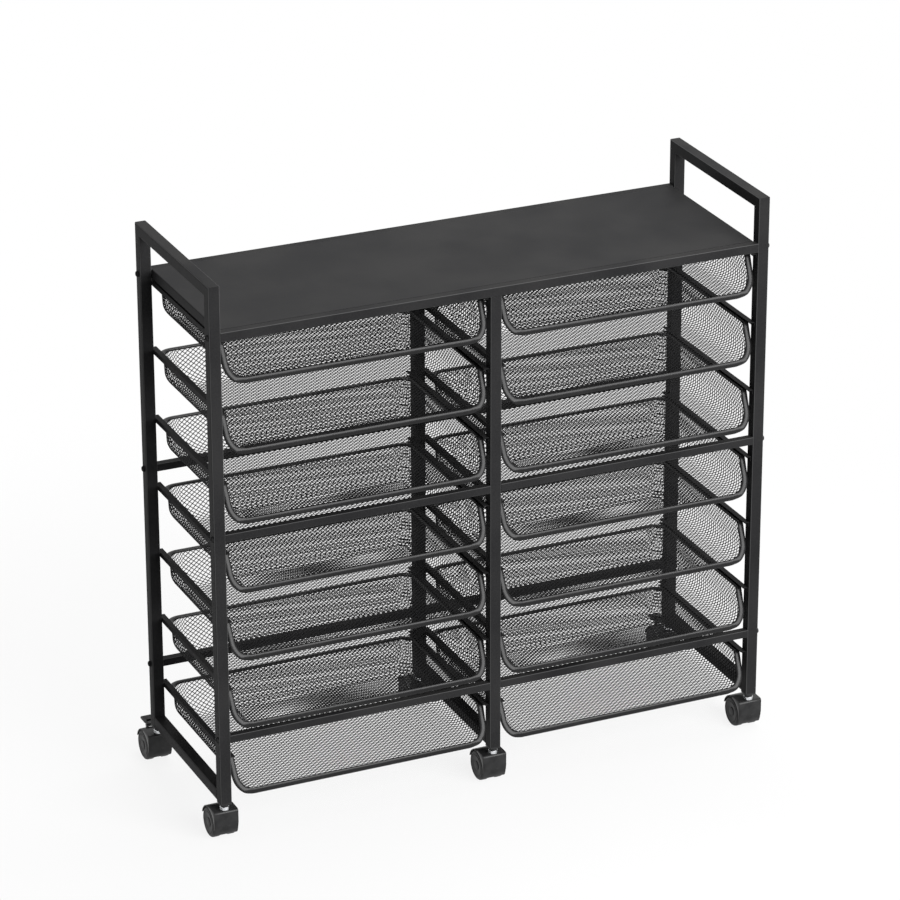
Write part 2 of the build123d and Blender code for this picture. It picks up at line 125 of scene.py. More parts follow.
class Recipe:
    """The node tree of one material or of the world."""

    def __init__(self, tree: bpy.types.NodeTree) -> None:
        """Start from an empty tree."""
        self.tree = tree
        tree.nodes.clear()

    @classmethod
    def material(cls, name: str) -> tuple["Recipe", bpy.types.Material]:
        """Make a material and an empty recipe for it.

        Args:
            name: The material's name.

        Returns:
            The recipe and the material.
        """
        made = bpy.data.materials.new(name)
        made.use_nodes = True
        return cls(made.node_tree), made

    def node(
        self,
        kind: str,
        settings: Mapping[str, object] | None = None,
        sockets: Mapping[str | int, object] | None = None,
    ) -> dict[str, Shade]:
        """Add one node.

        Args:
            kind: Blender's type name of the node.
            settings: Its properties, set first.
            sockets: Values or shades for its inputs, by name or place.

        Returns:
            The node's outputs by name.
        """
        made = self.tree.nodes.new(kind)
        for name, value in (settings or {}).items():
            setattr(made, name, value)
        for key, value in (sockets or {}).items():
            if isinstance(value, Shade):
                self.tree.links.new(value.socket, made.inputs[key])
            else:
                made.inputs[key].default_value = value
        return {output.name: Shade(self, output) for output in made.outputs if output.enabled}

    def place(self) -> Shade:
        """The piece's own coordinates, in metres."""
        return self.node("ShaderNodeTexCoord")["Object"]

    def noise(self, scale: float, detail: float = 2.0, stretch: Point = (1.0, 1.0, 1.0)) -> Shade:
        """Add noise in the piece's own coordinates.

        Args:
            scale: Waves per metre.
            detail: Octaves.
            stretch: Scale of each axis.

        Returns:
            The noise, from 0 to 1.
        """
        spot = self.node("ShaderNodeMapping", {}, {"Vector": self.place(), "Scale": stretch})["Vector"]
        return self.node("ShaderNodeTexNoise", {}, {"Vector": spot, "Scale": scale, "Detail": detail})["Fac"]

    def upward(self) -> Shade:
        """How far the surface faces up, from -1 to 1."""
        normal = self.node("ShaderNodeNewGeometry")["Normal"]
        return self.node("ShaderNodeSeparateXYZ", {}, {"Vector": normal})["Z"]

    def edge(self) -> Shade:
        """How far the surface turns away from all three axes, 1 in the middle of a rounded edge; the mask of
        painted edge highlights.
        """
        normal = self.node("ShaderNodeNewGeometry")["Normal"]
        size = self.node("ShaderNodeVectorMath", {"operation": "ABSOLUTE"}, {0: normal})["Vector"]
        parts = self.node("ShaderNodeSeparateXYZ", {}, {"Vector": size})
        return 1.0 - parts["X"].greater(parts["Y"]).greater(parts["Z"]).step(0.72, 0.97)

    def blend(self, mask: Shade, first: Colour | Shade, second: Colour | Shade) -> Shade:
        """Mix two colours.

        Args:
            mask: 0 gives the first colour, 1 the second.
            first: A colour or a shade.
            second: A colour or a shade.

        Returns:
            The mixed colour.
        """
        paints = {6: first, 7: second}
        inputs = {key: value if isinstance(value, Shade) else (*value, 1.0) for key, value in paints.items()}
        mixed = self.node("ShaderNodeMix", {"data_type": "RGBA"}, {0: mask, **inputs})
        return mixed["Result"]

    def bump(self, height: Shade, depth: float, strength: float = 1.0) -> Shade:
        """Add a bump.

        Args:
            height: The height, from 0 to 1.
            depth: Its full height in metres.
            strength: How much of it shows.

        Returns:
            The bumped normal.
        """
        values = {"Height": height, "Distance": depth, "Strength": strength}
        return self.node("ShaderNodeBump", {}, values)["Normal"]

    def surface(self, sockets: Mapping[str | int, object]) -> None:
        """Finish the material with a Principled shader on these sockets."""
        shader = self.node("ShaderNodeBsdfPrincipled", {}, sockets)["BSDF"]
        self.node("ShaderNodeOutputMaterial", {}, {"Surface": shader})


class Texture(Enum):
    """The skin of a coat."""

    PEEL = "peel"
    SMOOTH = "smooth"
    PLAIN = "plain"


@dataclass(frozen=True)
class PowderCoat:
    """Satin black coat on steel, with a little dust on what faces up and, where asked for, painted edge
    highlights.
    """

    name: str
    dark: Colour = (0.0140, 0.0140, 0.0147)
    light: Colour = (0.0240, 0.0238, 0.0243)
    dust: Colour = (0.050, 0.049, 0.047)
    gloss: float = 0.40
    dust_share: float = 0.30
    texture: Texture = Texture.PEEL
    sheen: float = 0.02
    # edge: colour of the painted highlight laid along rounded edges.
    edge: Colour = (0.095, 0.095, 0.096)
    edge_highlight_share: float = 0.0

    def make(self) -> bpy.types.Material:
        """Return the material."""
        recipe, material = Recipe.material(self.name)
        cloud = recipe.noise(9.0, 4.0)
        speck = recipe.noise(420.0, 3.0)
        settled = recipe.upward().step(0.55, 0.98) * cloud.step(0.32, 0.72) * self.dust_share
        paint = recipe.blend((cloud * 0.6 + speck * 0.4).step(0.3, 0.7), self.dark, self.light)
        # Painted highlight: rounded edges get a lighter colour that stands in for light gleaming along them.
        if self.edge_highlight_share:
            paint = recipe.blend(recipe.edge() * self.edge_highlight_share, paint, self.edge)
        sockets: dict[str | int, object] = {
            "Base Color": recipe.blend(settled, paint, self.dust),
            "Roughness": cloud * 0.10 + speck * 0.08 + settled * 0.25 + (self.gloss - 0.09),
            "Specular IOR Level": self.sheen,
        }
        if self.texture is Texture.PEEL:
            peel = recipe.noise(900.0, 2.0)
            sockets["Normal"] = recipe.bump(peel, 0.09 * MM, 0.35)
        elif self.texture is Texture.SMOOTH:
            ripple = recipe.noise(26.0, 2.0)
            sockets["Normal"] = recipe.bump(ripple, 0.5 * MM, 0.12)
        recipe.surface(sockets)
        return material


@dataclass(frozen=True)
class MouldedNylon:
    """Black moulded nylon with a fine spark-eroded skin and a scuffed tread."""

    name: str
    dark: Colour = (0.008, 0.008, 0.0084)
    light: Colour = (0.018, 0.018, 0.0184)
    worn: Colour = (0.075, 0.073, 0.070)
    gloss: float = 0.36
    scuff: float = 0.2
    sheen: float = 0.22

    def make(self) -> bpy.types.Material:
        """Return the material."""
        recipe, material = Recipe.material(self.name)
        cloud = recipe.noise(60.0, 3.0)
        rub = recipe.noise(210.0, 4.0, (1.0, 0.35, 1.0)).step(0.56, 0.74) * self.scuff
        paint = recipe.blend(cloud.step(0.3, 0.7), self.dark, self.light)
        sockets: dict[str | int, object] = {
            "Base Color": recipe.blend(rub, paint, self.worn),
            "Roughness": cloud * 0.12 + rub * 0.3 + (self.gloss - 0.06),
            "Specular IOR Level": self.sheen,
            "Normal": recipe.bump(recipe.noise(1600.0, 2.0), 0.06 * MM, 0.3),
        }
        recipe.surface(sockets)
        return material


@dataclass(frozen=True)
class ZincPlate:
    """Bright zinc plate, turned round the stem, a little clouded."""

    name: str
    bright: Colour = (0.74, 0.75, 0.77)
    dull: Colour = (0.52, 0.53, 0.54)
    gloss: float = 0.24

    def make(self) -> bpy.types.Material:
        """Return the material."""
        recipe, material = Recipe.material(self.name)
        cloud = recipe.noise(120.0, 3.0)
        rings = recipe.noise(300.0, 2.0, (0.15, 0.15, 6.0))
        recipe.surface(
            {
                "Base Color": recipe.blend(cloud.step(0.35, 0.75), self.bright, self.dull),
                "Metallic": 1.0,
                "Roughness": cloud * 0.15 + rings * 0.1 + (self.gloss - 0.1),
                "Normal": recipe.bump(rings, 0.04 * MM, 0.3),
            }
        )
        return material


class Shape:
    """A mesh in the making: points and faces, in metres."""

    def __init__(self) -> None:
        """Start empty."""
        self.points: list[Point] = []
        self.faces: list[tuple[int, ...]] = []

    def add(self, points: Iterable[Sequence[float]], faces: Iterable[Sequence[int]]) -> None:
        """Add points, and faces that count from the first of them."""
        start = len(self.points)
        self.points.extend(tuple(point) for point in points)
        self.faces.extend(tuple(start + index for index in face) for face in faces)

    def rings(self, rings: Sequence[Sequence[Sequence[float]]], closed: bool = False) -> None:
        """Skin a row of closed rings.

        Args:
            rings: Rings of equally many points.
            closed: Whether the last ring meets the first; otherwise both ends are capped.
        """
        count, size = len(rings), len(rings[0])
        spans = count if closed else count - 1
        faces: list[Sequence[int]] = []
        for row in range(spans):
            below, above = row * size, (row + 1) % count * size
            for at in range(size):
                after = (at + 1) % size
                faces.append((below + at, below + after, above + after, above + at))
        if not closed:
            faces.append(tuple(reversed(range(size))))
            faces.append(tuple(range((count - 1) * size, count * size)))
        self.add((point for ring in rings for point in ring), faces)

    def lathe(self, profile: Sequence[Pair], spot: Spot, steps: int) -> None:
        """Turn a profile.

        Args:
            profile: Reach along the axis and radius of each ring.
            spot: Turns (reach, across, up) into a point, with across and up from the axis.
            steps: Points in a ring.
        """
        self.rings([[spot(reach, a, b) for a, b in Outline.circle(radius, steps)] for reach, radius in profile])

    def prism(self, outline: Sequence[Pair], spot: Spot, low: float, high: float, edge: float) -> None:
        """Extrude an outline with eased edges.

        Args:
            outline: Corners, counter-clockwise.
            spot: Turns (across, up, along) into a point.
            low: Start of the extrusion.
            high: End of the extrusion.
            edge: Width of the eased edge.
        """
        part = edge * 0.3
        eased, halfway = Outline.inset(outline, edge), Outline.inset(outline, part)
        levels = ((low, eased), (low + part, halfway), (low + edge, outline),
                  (high - edge, outline), (high - part, halfway), (high, eased))
        self.rings([[spot(a, b, level) for a, b in ring] for level, ring in levels])

    def mesh(self, name: str, smooth_angle: float) -> bpy.types.Mesh:
        """Make the mesh.

        Args:
            name: The mesh's name.
            smooth_angle: Edges that turn by more than this, in degrees, stay sharp.

        Returns:
            The finished mesh, with its faces turned outwards.
        """
        made = bpy.data.meshes.new(name)
        made.from_pydata(self.points, [], self.faces)
        work = bmesh.new()
        work.from_mesh(made)
        bmesh.ops.recalc_face_normals(work, faces=work.faces)
        for face in work.faces:
            face.smooth = True
        for edge in work.edges:
            if len(edge.link_faces) == 2:
                edge.smooth = edge.calc_face_angle(0.0) < math.radians(smooth_angle)
        work.to_mesh(made)
        work.free()
        return made


class Outline:
    """Flat outlines that the mouldings are cut from."""

    @staticmethod
    def circle(radius: float, steps: int) -> list[Pair]:
        """Points round a circle about the origin."""
        turns = [2 * math.pi * k / steps for k in range(steps)]
        return [(radius * math.cos(turn), radius * math.sin(turn)) for turn in turns]

    @staticmethod
    def inset(outline: Sequence[Pair], edge: float) -> list[Pair]:
        """Move every corner of a counter-clockwise outline inwards.

        Args:
            outline: The corners.
            edge: How far each side moves.

        Returns:
            The new corners.
        """
        moved = []
        for index, here in enumerate(outline):
            before, after = Vector(outline[index - 1]), Vector(outline[(index + 1) % len(outline)])
            way_in, way_out = (Vector(here) - before).normalized(), (after - Vector(here)).normalized()
            normals = Vector((-way_in.y, way_in.x)), Vector((-way_out.y, way_out.x))
            both = (normals[0] + normals[1]).normalized()
            reach = edge / max(0.4, both.dot(normals[0]))
            moved.append(tuple(Vector(here) + both * reach))
        return moved

    @staticmethod
    def arc(centre: Pair, radius: float, start: float, stop: float, steps: int) -> list[Pair]:
        """Points along an arc.

        Args:
            centre: Its centre.
            radius: Its radius.
            start: First angle in degrees.
            stop: Last angle in degrees.
            steps: Number of spans.

        Returns:
            The points, both ends included.
        """
        angles = [math.radians(start + (stop - start) * k / steps) for k in range(steps + 1)]
        return [(centre[0] + radius * math.cos(a), centre[1] + radius * math.sin(a)) for a in angles]

    @staticmethod
    def rounded_box(left: float, low: float, right: float, high: float, radius: float,
                    steps: int) -> list[Pair]:
        """A rectangle with round corners, counter-clockwise.

        Args:
            left: Lowest first coordinate.
            low: Lowest second coordinate.
            right: Highest first coordinate.
            high: Highest second coordinate.
            radius: Corner radius.
            steps: Spans in a corner.

        Returns:
            The corners.
        """
        points: list[Pair] = []
        for centre, start in (((right - radius, low + radius), -90), ((right - radius, high - radius), 0),
                              ((left + radius, high - radius), 90), ((left + radius, low + radius), 180)):
            points += Outline.arc(centre, radius, start, start + 90, steps)
        return points


def show(name: str, mesh: bpy.types.Mesh, material: bpy.types.Material, body: str,
         stands_for: Sequence[str], at: Vector | None = None) -> None:
    """Put a piece in the scene.

    Args:
        name: The piece's name.
        mesh: Its mesh, which may be shared.
        material: Its finish.
        body: The body that it rides on.
        stands_for: CAD nodes that it takes the place of.
        at: Where its origin goes.
    """
    piece = bpy.data.objects.new(name, mesh)
    bpy.context.scene.collection.objects.link(piece)
    if not mesh.materials:
        mesh.materials.append(material)
    if at is not None:
        piece.location = at
    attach(piece, body)
    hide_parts(*stands_for)
    log.info("%s rides on %s", name, body)


def dress(nodes: Iterable[str], material: bpy.types.Material) -> None:
    """Give CAD nodes their finish.

    Args:
        nodes: Names of the nodes.
        material: The finish.
    """
    for name in nodes:
        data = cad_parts[name].data
        data.materials.clear()
        data.materials.append(material)
        log.info("%s is dressed in %s", name, material.name)


@dataclass
class TubeFrame:
    """Posts, rails, bars, runners and shelf, which keep their CAD shape."""

    # The frame's coat carries painted highlights on the rounded edges of its tubes.
    coat: PowderCoat = PowderCoat("frame_coat", edge_highlight_share=0.9)
    runner_coat: PowderCoat = PowderCoat("runner_coat", gloss=0.44, dust_share=0.2)
    shelf_coat: PowderCoat = PowderCoat("shelf_coat", gloss=0.60, dust_share=0.16, texture=Texture.SMOOTH,
                                        sheen=0.06)
    socket_nylon: MouldedNylon = MouldedNylon("socket_nylon", gloss=0.5)

    def build(self) -> None:
        """Dress the frame's nodes."""
        posts = [f"{side}_{end}_post" for side in ("left", "middle", "right") for end in ("front", "rear")]
        rails = ["left_side_rails", "right_side_rails", "middle_bottom_rail", "shelf_bars", "cross_bars"]
        dress(posts + rails, self.coat.make())
        dress(["left_runners", "middle_runners", "right_runners"], self.runner_coat.make())
        dress(["shelf_panel"], self.shelf_coat.make())
        dress(["caster_sockets"], self.socket_nylon.make())


@dataclass
class FrameBolts:
    """Button-head bolts through the outer posts, and studs through the middle ones."""

    head_radius: float = 5.0 * MM
    head_height: float = 3.2 * MM
    key_radius: float = 2.0 * MM
    key_depth: float = 1.7 * MM
    shank_radius: float = 2.95 * MM
    shank_length: float = 26.0 * MM
    shank_point: float = 1.0 * MM
    stud_half: float = 16.5 * MM
    bar_half: float = 6.5 * MM
    steps: int = 36
    finish: PowderCoat = PowderCoat("bolt_oxide", gloss=0.34, dust_share=0.05, texture=Texture.SMOOTH)

    def spots(self) -> tuple[list[Pair], list[Pair]]:
        """Where the bolts sit.

        Returns:
            Depth and height of the shelf's bolts, and of the cross bars' bolts.
        """
        shelf_low, shelf_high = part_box("shelf_bars")
        bar_low, bar_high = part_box("cross_bars")
        half = (shelf_high.z - shelf_low.z) / 2
        shelf = [(y, shelf_low.z + half) for y in (shelf_low.y + half, shelf_high.y - half)]
        bars = [(y, z) for y in (bar_low.y + self.bar_half, bar_high.y - self.bar_half)
                for z in (bar_low.z + self.bar_half, bar_high.z - self.bar_half)]
        return shelf, bars

    def ring(self, radius: float) -> list[Pair]:
        """A circle with the bolt's number of points."""
        return Outline.circle(radius, self.steps)

    def key_ring(self, radius: float) -> list[Pair]:
        """A hexagon with as many points as the head's rings."""
        points = []
        for k in range(self.steps):
            turn = 2 * math.pi * k / self.steps
            off = turn % (math.pi / 3) - math.pi / 6
            reach = radius * math.cos(math.pi / 6) / math.cos(off)
            points.append((reach * math.cos(turn), reach * math.sin(turn)))
        return points

    def add_bolt(self, shape: Shape, face: float, sign: int, y: float, z: float) -> None:
        """Add one bolt.

        Args:
            shape: The mesh in the making.
            face: The post's outer face.
            sign: -1 on the left, 1 on the right.
            y: Depth of its axis.
            z: Height of its axis.
        """
        height, wide, shank, key = self.head_height, self.head_radius, self.shank_radius, self.key_radius
        turns = [math.radians(angle) for angle in range(10, 91, 16)]
        rings = [(-self.shank_length, self.ring(shank * 0.7)),
                 (-self.shank_length + self.shank_point, self.ring(shank)),
                 (0.0, self.ring(shank)), (0.0, self.ring(wide * 0.97)), (0.35 * MM, self.ring(wide))]
        rings += [(height * math.sin(turn), self.ring(wide * (0.52 + 0.48 * math.cos(turn)))) for turn in turns]
        rings += [(height, self.key_ring(key * 1.08)), (height - 0.25 * MM, self.key_ring(key)),
                  (height - self.key_depth, self.key_ring(key * 0.97))]
        shape.rings([[(face + sign * reach, y + a, z + b) for a, b in ring] for reach, ring in rings])

    def build(self) -> None:
        """Make all bolts and studs as one piece."""
        shape = Shape()
        shelf, bars = self.spots()
        left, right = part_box("left_front_post")[0].x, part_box("right_front_post")[1].x
        for face, sign in ((left, -1), (right, 1)):
            for y, z in shelf + bars:
                self.add_bolt(shape, face, sign, y, z)
        for y, z in bars:
            shape.lathe([(-self.stud_half, self.shank_radius), (self.stud_half, self.shank_radius)],
                        lambda reach, a, b, y=y, z=z: (reach, y + a, z + b), self.steps)
        mesh = shape.mesh("frame_bolt_set", 35.0)
        show("frame_bolt_set", mesh, self.finish.make(), "frame", ["frame_bolts"])


@dataclass
class MeshTray:
    """A pressed tray of diamond mesh with a domed rim that slopes down to an upright front lip."""

    depth: float = 58.0 * MM
    wall: float = 1.0 * MM
    bottom_radius: float = 28.0 * MM
    corner_radius: float = 21.0 * MM
    side_inset: float = 3.0 * MM
    rim_width: float = 7.0 * MM
    rim_thickness: float = 3.0 * MM
    rim_lap: float = 3.4 * MM
    rim_side: float = 0.9 * MM
    slope_run: float = 26.0 * MM
    slope_bend: float = 10.0 * MM
    lip_bend: float = 9.0 * MM
    lip_rise: float = 3.0 * MM
    rear_reach: float = 16.0 * MM
    diamond: Pair = (9.0 * MM, 7.5 * MM)
    strand: float = 1.15 * MM
    relief: float = 0.15 * MM
    sheet: float = 0.70 * MM
    columns: tuple[str, ...] = ("left", "right")
    rows: int = 7
    mesh_coat: PowderCoat = PowderCoat("mesh_coat", gloss=0.42, dust_share=0.12, texture=Texture.PLAIN)
    rim_coat: PowderCoat = PowderCoat("rim_coat", (0.007, 0.007, 0.0073), (0.012, 0.0119, 0.0122), gloss=0.27,
                                      dust_share=0.1, sheen=0.17)

    def __post_init__(self) -> None:
        """Take the tray's outline from the first rim, with the rim's top as height 0."""
        low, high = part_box("drawer_left_1_rim")
        self.rim_half = (high.x - low.x) / 2
        self.wall_half = self.rim_half - self.rim_width
        self.lip_y = low.y
        self.wall_rear = high.y + self.rear_reach - self.rim_width
        self.slope_top = self.lip_y + self.slope_run
        self.slope_foot = self.lip_rise - self.depth
        self.slope_angle = math.atan2(-self.slope_foot, self.slope_run)
        self.lean = math.atan2(self.side_inset, self.depth)

    def rise(self, reach: np.ndarray, radius: float) -> tuple[np.ndarray, np.ndarray]:
        """Bend a flat sheet up into a wall.

        Args:
            reach: Distances along the sheet from where the bend starts.
            radius: The bend's radius.

        Returns:
            How far out and how far up each point comes.
        """
        turn = math.pi / 2 - self.lean
        angle = np.clip(reach / radius, 0.0, turn)
        past = np.maximum(reach - radius * turn, 0.0)
        out = np.where(reach < 0, reach, radius * np.sin(angle) + past * math.sin(self.lean))
        return out, radius * (1 - np.cos(angle)) + past * math.cos(self.lean)

    def wall_reach(self, radius: float, height: float) -> Pair:
        """Length of sheet up to a height, and how far out it is there.

        Args:
            radius: The bend's radius.
            height: The height above the floor.

        Returns:
            The length and the distance out.
        """
        turn = math.pi / 2 - self.lean
        past = (height - radius * (1 - math.cos(turn))) / math.cos(self.lean)
        length = radius * turn + past
        return length, radius * math.sin(turn) + past * math.sin(self.lean)

    def cut_line(self, inset: float) -> list[tuple[float, float, float]]:
        """The line that trims the tray, seen from the side.

        Args:
            inset: How far inside the rim's top it runs.

        Returns:
            Depth, height and the turn of its normal from upright, from the level run to the foot of the lip.
        """
        line: list[tuple[float, float, float]] = [(self.wall_rear, -inset, 0.0)]
        half = self.slope_angle / 2
        tangent = self.slope_bend * math.tan(half)
        centre = (self.slope_top + tangent, -self.slope_bend)
        for k in range(9):
            turn = self.slope_angle * k / 8
            radius = self.slope_bend - inset
            line.append((centre[0] - radius * math.sin(turn), centre[1] + radius * math.cos(turn), turn))
        rest = (math.pi / 2 - self.slope_angle) / 2
        drop = self.lip_bend * math.tan(rest)
        centre = (self.lip_y + self.lip_bend, self.slope_foot - drop)
        for k in range(9):
            turn = self.slope_angle + 2 * rest * k / 8
            radius = self.lip_bend - inset
            line.append((centre[0] - radius * math.sin(turn), centre[1] + radius * math.cos(turn), turn))
        line.append((self.lip_y + inset, -self.depth - self.rim_width - 2 * MM, math.pi / 2))
        return line

    def sheet_to_tray(self, across: np.ndarray, along: np.ndarray) -> np.ndarray:
        """Fold flat mesh into the tray's tub.

        Args:
            across: Places on the flat sheet from its middle line.
            along: Places on the flat sheet in the tray's own depth.

        Returns:
            Points of the tub's middle surface.
        """
        radius = self.bottom_radius - self.wall / 2
        _, out_top = self.wall_reach(radius, self.depth - self.wall / 2)
        floor_half = self.wall_half - self.wall / 2 - out_top
        floor_rear = self.wall_rear - self.wall / 2 - out_top
        side, rear = np.abs(across) - floor_half, along - floor_rear
        corner = (side > 0) & (rear > 0)
        reach = np.where(corner, np.hypot(np.maximum(side, 0), np.maximum(rear, 0)), np.maximum(side, rear))
        out, up = self.rise(reach, radius)
        theta = np.where(corner, np.arctan2(np.maximum(rear, 1e-9), np.maximum(side, 1e-9)), 0.0)
        cosine, sine = np.cos(theta), np.sin(theta)
        round_in = self.corner_radius - self.wall / 2
        flat = out_top - round_in
        both = flat * (cosine + sine)
        bow = both + np.sqrt(np.maximum(both**2 - 2 * flat**2 + round_in**2, 0.0))
        straight = out_top / np.maximum(np.maximum(cosine, sine), 1e-6)
        far = np.where(np.minimum(cosine, sine) * straight <= flat, straight, bow) / out_top
        beside = np.where(side > 0, floor_half + out, np.abs(across))
        x_side = np.where(corner, floor_half + out * far * cosine, beside)
        y = np.where(corner, floor_rear + out * far * sine, np.where(rear > 0, floor_rear + out, along))
        rise = np.where(corner | (side > 0) | (rear > 0), up, 0.0)
        return np.stack([np.sign(across) * x_side, y, -self.depth + self.wall / 2 + rise], axis=-1)

    def net_mesh(self) -> bpy.types.Mesh:
        """Weave the tub of diamond mesh.

        Returns:
            One mesh that all trays share.
        """
        radius = self.bottom_radius - self.wall / 2
        length, out_top = self.wall_reach(radius, self.depth)
        spare = 2 * max(self.diamond)
        half = self.wall_half - out_top + length + spare
        far = self.wall_rear - out_top + length + spare
        step_x, step_y = self.diamond[0] / 2, self.diamond[1] / 2
        keep = 1 - self.strand / 2 / (step_x * step_y / math.hypot(step_x, step_y))
        count_x = int(half / step_x) + 1
        first_y = self.lip_y - spare
        count_y = int((far - first_y) / step_y) + 1
        grid_x, grid_y = np.meshgrid(np.arange(-count_x, count_x + 1), np.arange(count_y), indexing="ij")
        even = (grid_x + grid_y) % 2 == 0
        across, along = grid_x * step_x, first_y + grid_y * step_y
        side = np.abs(across) - (self.wall_half - out_top)
        rear = along - (self.wall_rear - out_top)
        round_corner = np.hypot(np.maximum(side, 0), np.maximum(rear, 0))
        even &= ~((side > 0) & (rear > 0) & (round_corner > length + spare))
        number = np.full(grid_x.shape, -1, dtype=np.int64)
        number[even] = np.arange(int(even.sum()))
        middle_x, middle_y = across[even], along[even]
        offsets = np.array([(keep * step_x, 0), (0, keep * step_y), (-keep * step_x, 0), (0, -keep * step_y)])
        flat_x = (middle_x[:, None] + offsets[None, :, 0]).ravel()
        flat_y = (middle_y[:, None] + offsets[None, :, 1]).ravel()
        points = self.sheet_to_tray(flat_x, flat_y)
        tiny = 0.05 * MM
        run_x = self.sheet_to_tray(flat_x + tiny, flat_y) - self.sheet_to_tray(flat_x - tiny, flat_y)
        run_y = self.sheet_to_tray(flat_x, flat_y + tiny) - self.sheet_to_tray(flat_x, flat_y - tiny)
        normal = np.cross(run_x, run_y)
        normal /= np.maximum(np.linalg.norm(normal, axis=1, keepdims=True), 1e-12)
        points += normal * (self.relief * np.tile([1.0, -1.0, 1.0, -1.0], len(middle_x)))[:, None]
        both = np.concatenate([points + normal * self.sheet / 2, points - normal * self.sheet / 2])
        top = self.net_quads(number, grid_x[even] + count_x, grid_y[even])
        corner = np.arange(len(points))
        after = corner // 4 * 4 + (corner + 1) % 4
        sides = np.stack([corner, after, after + len(points), corner + len(points)], 1)
        made = bpy.data.meshes.new("tray_net")
        made.from_pydata(both.tolist(), [], np.concatenate([top, top[:, ::-1] + len(points), sides]).tolist())
        self.trim(made)
        return made

    @staticmethod
    def net_quads(number: np.ndarray, at_x: np.ndarray, at_y: np.ndarray) -> np.ndarray:
        """Join the corners of neighbouring diamonds into strands and knots.

        Args:
            number: Each diamond's number by place, -1 where there is none.
            at_x: Places of the diamonds across.
            at_y: Places of the diamonds along.

        Returns:
            Corner numbers of all four-sided faces; a diamond's corners are right, far, left and near.
        """
        padded = np.pad(number, 2, constant_values=-1)

        def beside(dx: int, dy: int) -> np.ndarray:
            """Numbers of the diamonds that stand this many half steps from each one."""
            return padded[at_x + 2 + dx, at_y + 2 + dy]

        here = number[at_x, at_y]
        far_right, far_left, near_right, right = beside(1, 1), beside(-1, 1), beside(1, -1), beside(2, 0)
        sets = []
        good = far_right >= 0
        sets.append(np.stack([here * 4, far_right * 4 + 3, far_right * 4 + 2, here * 4 + 1], 1)[good])
        good = far_left >= 0
        sets.append(np.stack([here * 4 + 1, far_left * 4, far_left * 4 + 3, here * 4 + 2], 1)[good])
        good = (far_right >= 0) & (near_right >= 0) & (right >= 0)
        sets.append(np.stack([here * 4, near_right * 4 + 1, right * 4 + 2, far_right * 4 + 3], 1)[good])
        return np.concatenate(sets)

    def trim(self, mesh: bpy.types.Mesh) -> None:
        """Cut the net along the middle of the rim's thickness."""
        work = bmesh.new()
        work.from_mesh(mesh)
        for y, z, turn in self.cut_line(self.rim_thickness / 2):
            everything = [*work.verts, *work.edges, *work.faces]
            bmesh.ops.bisect_plane(work, geom=everything, dist=1e-7, plane_co=(0, y, z),
                                   plane_no=(0, -math.sin(turn), math.cos(turn)), clear_outer=True)
        loose = [vert for vert in work.verts if not vert.link_faces]
        bmesh.ops.delete(work, geom=loose, context="VERTS")
        bmesh.ops.holes_fill(work, edges=[edge for edge in work.edges if edge.is_boundary], sides=0)
        bmesh.ops.recalc_face_normals(work, faces=work.faces)
        work.to_mesh(mesh)
        work.free()

    def rim_path(self) -> list[tuple[Vector, Vector]]:
        """The line where the rim meets the tub's outer side, on the right half from the rear to the front.

        Returns:
            Points on the rim's top, each with the rim's upward normal.
        """
        up = Vector((0, 0, 1))
        path: list[tuple[Vector, Vector]] = []
        corner_x, corner_y = self.wall_half - self.corner_radius, self.wall_rear - self.corner_radius
        path += [(Vector((corner_x * k / 6, self.wall_rear, 0)), up) for k in range(6)]
        corner = Outline.arc((corner_x, corner_y), self.corner_radius, 90, 0, 8)
        path += [(Vector((x, y, 0)), up) for x, y in corner]
        line = self.cut_line(0.0)
        run = line[1][0] - corner_y
        path += [(Vector((self.wall_half, corner_y + run * k / 8, 0)), up) for k in range(1, 8)]
        heights = np.array([-z for _, z, _ in line[1:]])
        depths = np.array([y for y, _, _ in line[1:]])
        turns = np.array([turn for _, _, turn in line[1:]])
        _, out_top = self.wall_reach(self.bottom_radius, self.depth)
        floor_half = self.wall_half - out_top
        turn_top = math.pi / 2 - self.lean
        bend_top = -self.depth + self.bottom_radius * (1 - math.cos(turn_top))
        levels = [z for _, z, _ in line[1:10]]
        levels += [levels[-1] + (bend_top - levels[-1]) * k / 4 for k in range(1, 4)]
        for z in levels:
            x = self.wall_half + z * math.tan(self.lean)
            path.append(self.on_cut(x, z, heights, depths, turns))
        for k in range(21):
            angle = turn_top * (1 - k / 20)
            z = -self.depth + self.bottom_radius * (1 - math.cos(angle))
            x = floor_half + self.bottom_radius * math.sin(angle)
            path.append(self.on_cut(x, z, heights, depths, turns))
        last = path[-1]
        path += [(Vector((floor_half * (1 - k / 6), last[0].y, last[0].z)), last[1]) for k in range(1, 7)]
        return path

    @staticmethod
    def on_cut(x: float, z: float, heights: np.ndarray, depths: np.ndarray,
               turns: np.ndarray) -> tuple[Vector, Vector]:
        """A point of the rim's line at one height.

        Args:
            x: Its place across.
            z: Its height.
            heights: Drops along the trimming line.
            depths: Depths along the trimming line.
            turns: Turns of the normal along the trimming line.

        Returns:
            The point and the rim's normal there.
        """
        turn = float(np.interp(-z, heights, turns))
        normal = Vector((0, -math.sin(turn), math.cos(turn)))
        return Vector((x, float(np.interp(-z, heights, depths)), z)), normal

    def rim_section(self) -> list[Pair]:
        """The domed section of the rim: out from the tub's outer side, and up from the rim's top."""
        half = (self.rim_width + self.rim_lap) / 2
        crown = self.rim_thickness - self.rim_side
        dome = [(math.cos(math.pi * k / 12), math.sin(math.pi * k / 12)) for k in range(13)]
        under = [(-self.rim_lap, -self.rim_thickness), (self.rim_width, -self.rim_thickness)]
        return under + [(half - self.rim_lap + half * a, crown * (b - 1)) for a, b in dome]

